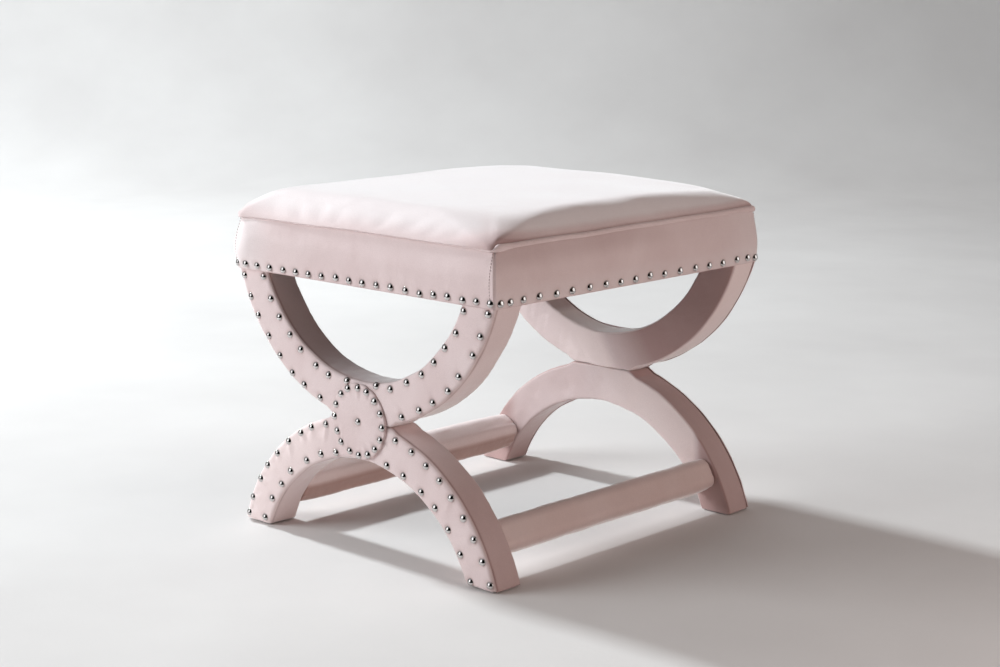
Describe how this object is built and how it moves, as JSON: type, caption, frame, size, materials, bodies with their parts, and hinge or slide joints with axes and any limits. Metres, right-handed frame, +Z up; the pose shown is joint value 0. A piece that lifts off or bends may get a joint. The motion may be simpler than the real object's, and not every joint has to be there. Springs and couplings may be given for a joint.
{
  "type": "ottoman",
  "caption": "Square upholstered ottoman: crowned padded seat with piped edge on two crossed-arc X-frames with round medallions, nailhead trim and padded stretchers.",
  "frame": {"origin": "on the floor under the middle of the seat", "axes": "+Z up; X along the face of each arc frame; Y from the front frame (-Y) to the back frame (+Y)"},
  "size_m": [0.4862, 0.532, 0.4603],
  "materials": {
    "velvet": "matte",
    "timber": "matte",
    "plywood": "matte",
    "foam": "matte",
    "nickel": "polished",
    "steel": "satin",
    "cambric": "matte",
    "plastic": "matte"
  },
  "bodies": {
    "root": {"seat_rail_front": "timber", "seat_rail_back": "timber", "seat_rail_left": "timber", "seat_rail_right": "timber", "corner_post_front_left": "timber", "arc_bolt_front_left": "steel", "arc_insert_front_left": "steel", "glide_front_left": "plastic", "corner_post_front_right": "timber", "arc_bolt_front_right": "steel", "arc_insert_front_right": "steel", "glide_front_right": "plastic", "corner_post_back_left": "timber", "arc_bolt_back_left": "steel", "arc_insert_back_left": "steel", "glide_back_left": "plastic", "corner_post_back_right": "timber", "arc_bolt_back_right": "steel", "arc_insert_back_right": "steel", "glide_back_right": "plastic", "seat_board": "plywood", "dust_cover": "cambric", "seat_top_cover": "velvet", "seat_foam": "foam", "seat_welt": "velvet", "band_front": "velvet", "band_right": "velvet", "band_back": "velvet", "band_left": "velvet", "front_upper_arc_core": "timber", "front_upper_arc_cover": "velvet", "front_upper_facing": "velvet", "front_lower_arc_core": "timber", "front_lower_arc_cover": "velvet", "front_lower_facing": "velvet", "front_crossing_dowel_left": "timber", "front_stretcher_bolt_left": "steel", "front_crossing_dowel_right": "timber", "front_stretcher_bolt_right": "steel", "front_medallion_board": "plywood", "front_medallion_cover": "velvet", "front_medallion_nail": "nickel", "back_upper_arc_core": "timber", "back_upper_arc_cover": "velvet", "back_upper_facing": "velvet", "back_lower_arc_core": "timber", "back_lower_arc_cover": "velvet", "back_lower_facing": "velvet", "back_crossing_dowel_left": "timber", "back_stretcher_bolt_left": "steel", "back_crossing_dowel_right": "timber", "back_stretcher_bolt_right": "steel", "back_medallion_board": "plywood", "back_medallion_cover": "velvet", "back_medallion_nail": "nickel", "left_stretcher_cover": "velvet", "left_stretcher_core": "timber", "right_stretcher_cover": "velvet", "right_stretcher_core": "timber"}
  },
  "joints": []
}
